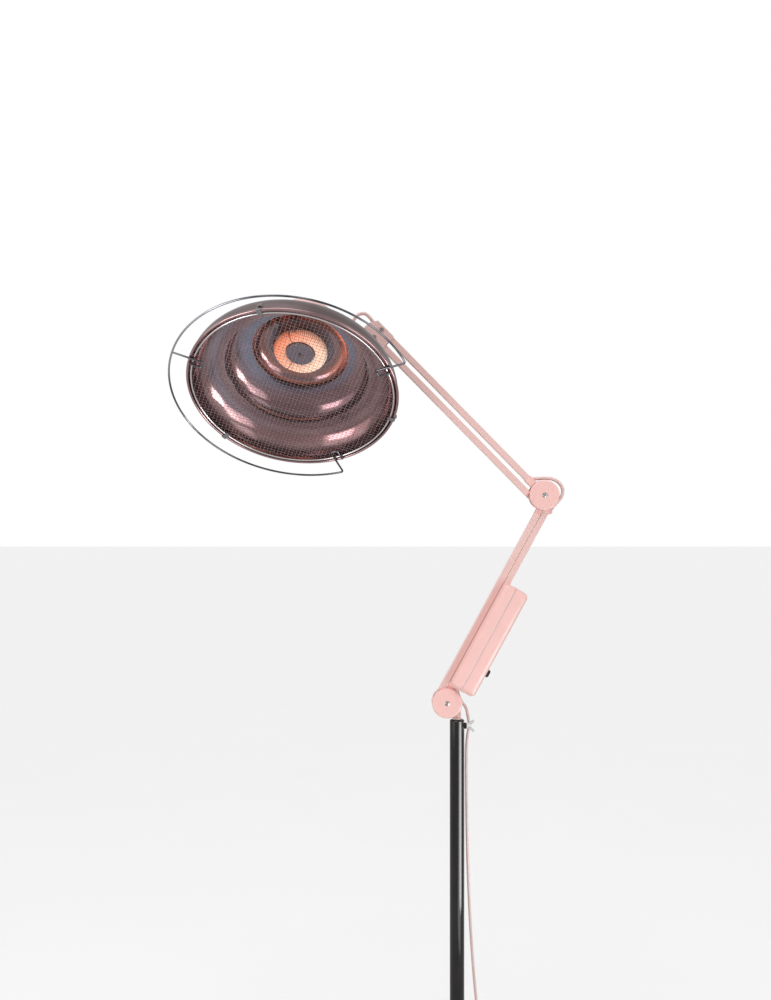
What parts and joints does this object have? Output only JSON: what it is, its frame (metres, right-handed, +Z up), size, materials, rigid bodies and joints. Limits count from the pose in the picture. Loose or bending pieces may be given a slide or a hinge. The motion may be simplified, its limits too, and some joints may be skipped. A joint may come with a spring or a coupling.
{
  "type": "infrared heat therapy lamp",
  "caption": "Stepped-dish infrared heat lamp with mesh guard and handle ring, on a two-stage parallel-bar swing arm with control box and floor stand.",
  "frame": {"origin": "on the floor under the column's axis", "axes": "+Z up along the column; the arm moves in the plane y = 0 and reaches towards -X; the dish opens towards -Y and the floor"},
  "size_m": [0.8354, 0.573, 1.7176],
  "materials": {
    "base_hub": "gloss black enamel",
    "base_legs": "gloss black enamel",
    "base_feet": "matt black rubber",
    "column": "high-gloss black enamel",
    "column_cap": "gloss black moulding",
    "cord_lower": "pale pink PVC sheath",
    "plug": "pale pink moulding",
    "wing_screw": "bright plated",
    "shoulder_bracket": "satin pink enamel",
    "shoulder_spigot": "plain steel",
    "shoulder_pins": "plain steel",
    "shoulder_cover_front": "satin pink moulding",
    "shoulder_cover_rear": "satin pink moulding",
    "shoulder_cover_screws": "darkened steel",
    "cord_upper": "pale pink PVC sheath",
    "lower_bar_right": "satin pink enamel",
    "lower_bar_right_ends": "satin pink moulding",
    "control_box_rear": "satin pink moulding",
    "control_box_front": "satin pink moulding",
    "control_box_screws": "darkened steel",
    "power_board": "green circuit board with parts",
    "potentiometer": "plated can",
    "switch_body": "black moulding",
    "cord_relief": "pale pink moulded rubber",
    "power_knob": "black moulding",
    "rocker_switch": "black moulding",
    "lower_bar_left": "satin pink enamel",
    "lower_bar_left_ends": "satin pink moulding",
    "elbow_plates": "satin pink enamel",
    "elbow_pins": "plain steel",
    "elbow_spacers": "plain steel",
    "elbow_cover_front": "satin pink moulding",
    "elbow_cover_rear": "satin pink moulding",
    "elbow_cover_screws": "darkened steel",
    "elbow_cable": "pale pink PVC sheath",
    "upper_bar_top": "satin pink enamel",
    "upper_bar_top_ends": "satin pink moulding",
    "upper_bar_bottom": "satin pink enamel",
    "upper_bar_bottom_ends": "satin pink moulding",
    "balance_spring": "plain steel",
    "head_bracket": "satin pink enamel",
    "head_pins": "darkened steel",
    "head_cable": "pale pink PVC sheath",
    "neck": "satin pink moulding",
    "swivel_bolt": "plain steel",
    "tilt_lock_ring": "plain steel",
    "reflector": "polished inside, satin grey-brown outside",
    "back_plate": "satin",
    "back_cap": "satin pink enamel",
    "cap_screws": "darkened steel",
    "terminal_block": "glazed white",
    "heating_element": "matt ceramic body with a buried coil",
    "element_holder": "matt ceramic",
    "holder_screw": "plain steel",
    "element_terminals": "dark ceramic beads",
    "element_ties": "heat-coloured steel",
    "mesh_guard": "bright plated wire",
    "mesh_clips": "bright plated",
    "clip_screws": "darkened steel",
    "guard_ring": "bright plated wire"
  },
  "bodies": {
    "stand": {"base_hub": "base_hub", "base_legs": "base_legs", "base_feet": "base_feet", "column": "column", "column_cap": "column_cap", "cord_lower": "cord_lower", "plug": "plug"},
    "wing_screw": {"wing_screw": "wing_screw"},
    "shoulder": {"shoulder_bracket": "shoulder_bracket", "shoulder_spigot": "shoulder_spigot", "shoulder_pins": "shoulder_pins", "shoulder_cover_front": "shoulder_cover_front", "shoulder_cover_rear": "shoulder_cover_rear", "shoulder_cover_screws": "shoulder_cover_screws", "cord_upper": "cord_upper"},
    "lower_arm": {"lower_bar_right": "lower_bar_right", "lower_bar_right_ends": "lower_bar_right_ends", "control_box_rear": "control_box_rear", "control_box_front": "control_box_front", "control_box_screws": "control_box_screws", "power_board": "power_board", "potentiometer": "potentiometer", "switch_body": "switch_body", "cord_relief": "cord_relief"},
    "power_knob": {"power_knob": "power_knob"},
    "rocker_switch": {"rocker_switch": "rocker_switch"},
    "lower_link": {"lower_bar_left": "lower_bar_left", "lower_bar_left_ends": "lower_bar_left_ends"},
    "elbow": {"elbow_plates": "elbow_plates", "elbow_pins": "elbow_pins", "elbow_spacers": "elbow_spacers", "elbow_cover_front": "elbow_cover_front", "elbow_cover_rear": "elbow_cover_rear", "elbow_cover_screws": "elbow_cover_screws", "elbow_cable": "elbow_cable"},
    "upper_arm": {"upper_bar_top": "upper_bar_top", "upper_bar_top_ends": "upper_bar_top_ends"},
    "upper_link": {"upper_bar_bottom": "upper_bar_bottom", "upper_bar_bottom_ends": "upper_bar_bottom_ends", "balance_spring": "balance_spring"},
    "head_bracket": {"head_bracket": "head_bracket", "head_pins": "head_pins", "head_cable": "head_cable"},
    "head_swivel": {"neck": "neck", "swivel_bolt": "swivel_bolt", "tilt_lock_ring": "tilt_lock_ring"},
    "lamp_head": {"reflector": "reflector", "back_plate": "back_plate", "back_cap": "back_cap", "cap_screws": "cap_screws", "terminal_block": "terminal_block", "heating_element": "heating_element", "element_holder": "element_holder", "holder_screw": "holder_screw", "element_terminals": "element_terminals", "element_ties": "element_ties", "mesh_guard": "mesh_guard", "mesh_clips": "mesh_clips", "clip_screws": "clip_screws", "guard_ring": "guard_ring"}
  },
  "joints": [
    {"name": "wing_screw_turn", "type": "hinge", "parent": "stand", "child": "wing_screw", "pos_m": [0, 0, 0.887], "axis": [1, 0, 0], "range_deg": [0, 360]},
    {"name": "shoulder_turn", "type": "hinge", "parent": "stand", "child": "shoulder", "pos_m": [0, 0, 0.9], "axis": [0, 0, 1], "range_deg": [-150, 150], "deforming": ["cord_upper"]},
    {"name": "lower_arm_hinge", "type": "hinge", "parent": "shoulder", "child": "lower_arm", "pos_m": [-0.02377, 0, 0.94398], "axis": [0, -1, 0], "range_deg": [0, 105], "deforming": ["cord_upper"]},
    {"name": "lower_link_hinge", "type": "hinge", "parent": "shoulder", "child": "lower_link", "pos_m": [-0.0423, 0, 0.93569], "axis": [0, -1, 0], "range_deg": [0, 105]},
    {"name": "elbow_hinge", "type": "hinge", "parent": "lower_arm", "child": "elbow", "pos_m": [0.18613, 0, 1.32898], "axis": [0, -1, 0], "range_deg": [-105, 0], "deforming": ["elbow_cable"]},
    {"name": "upper_arm_hinge", "type": "hinge", "parent": "elbow", "child": "upper_arm", "pos_m": [0.16895, 0, 1.3359], "axis": [0, -1, 0], "range_deg": [-30, 47], "deforming": ["elbow_cable"]},
    {"name": "upper_link_hinge", "type": "hinge", "parent": "elbow", "child": "upper_link", "pos_m": [0.15447, 0, 1.32167], "axis": [0, -1, 0], "range_deg": [-30, 47]},
    {"name": "head_bracket_hinge", "type": "hinge", "parent": "upper_arm", "child": "head_bracket", "pos_m": [-0.14646, 0, 1.65686], "axis": [0, -1, 0], "range_deg": [-47, 30], "deforming": ["head_cable"]},
    {"name": "head_swivel_turn", "type": "hinge", "parent": "head_bracket", "child": "head_swivel", "pos_m": [-0.20356, 0, 1.65206], "axis": [0, 0, 1], "range_deg": [-60, 40], "deforming": ["head_cable"]},
    {"name": "head_tilt", "type": "hinge", "parent": "head_swivel", "child": "lamp_head", "pos_m": [-0.29861, 0.0137, 1.65206], "axis": [0.9898, -0.1426, 0], "range_deg": [-45, 45]},
    {"name": "power_knob_turn", "type": "hinge", "parent": "lower_arm", "child": "power_knob", "pos_m": [0.05397, 0, 0.99152], "axis": [0.878, 0, -0.4787], "range_deg": [0, 270]},
    {"name": "rocker_switch_press", "type": "hinge", "parent": "lower_arm", "child": "rocker_switch", "pos_m": [0.11153, 0, 1.10023], "axis": [0, 1, 0], "range_deg": [0, 12]}
  ],
  "couplings": [
    {"joint": "lower_link_hinge", "follows": "lower_arm_hinge", "ratio": 1},
    {"joint": "elbow_hinge", "follows": "lower_arm_hinge", "ratio": -1},
    {"joint": "upper_link_hinge", "follows": "upper_arm_hinge", "ratio": 1},
    {"joint": "head_bracket_hinge", "follows": "upper_arm_hinge", "ratio": -1}
  ]
}
